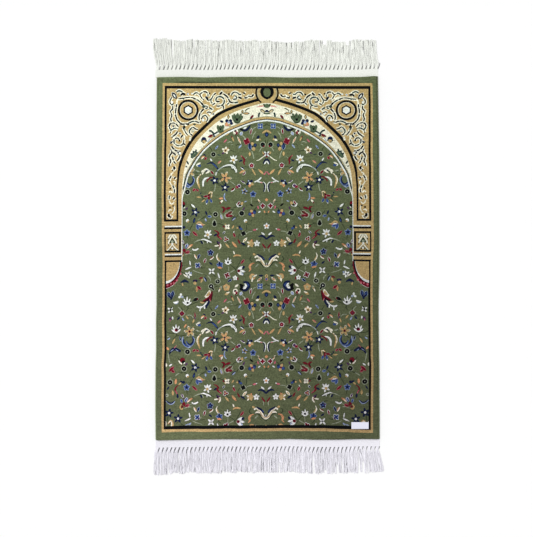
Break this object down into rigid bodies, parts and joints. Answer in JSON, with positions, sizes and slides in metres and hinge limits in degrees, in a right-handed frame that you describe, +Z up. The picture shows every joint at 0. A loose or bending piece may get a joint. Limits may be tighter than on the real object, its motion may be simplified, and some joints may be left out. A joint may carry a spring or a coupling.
{
  "type": "prayer rug",
  "caption": "Flat rectangular woven pile prayer rug with a niche design, overcast sides, fringed woven strips at both ends and a small sewn label.",
  "frame": {"origin": "middle of the rug's footprint, fringes included, on the plane that it lies on", "axes": "+X across the rug to the right, +Y along the rug towards the top of the niche, +Z up out of the pile"},
  "size_m": [0.7204, 1.3678, 0.0103],
  "materials": {
    "pile": "short dense cut pile, green ground with a woven pattern in tan, cream, black, red and blue",
    "overcast": "olive green yarn wound over the edge",
    "cotton": "off-white plied yarn, woven strip and loose fringe",
    "satin": "smooth white woven ribbon"
  },
  "bodies": {
    "root": {"rug_body": "pile", "side_left": "overcast", "side_right": "overcast", "fringe_head": "cotton", "fringe_foot": "cotton", "label": "satin"}
  },
  "joints": []
}
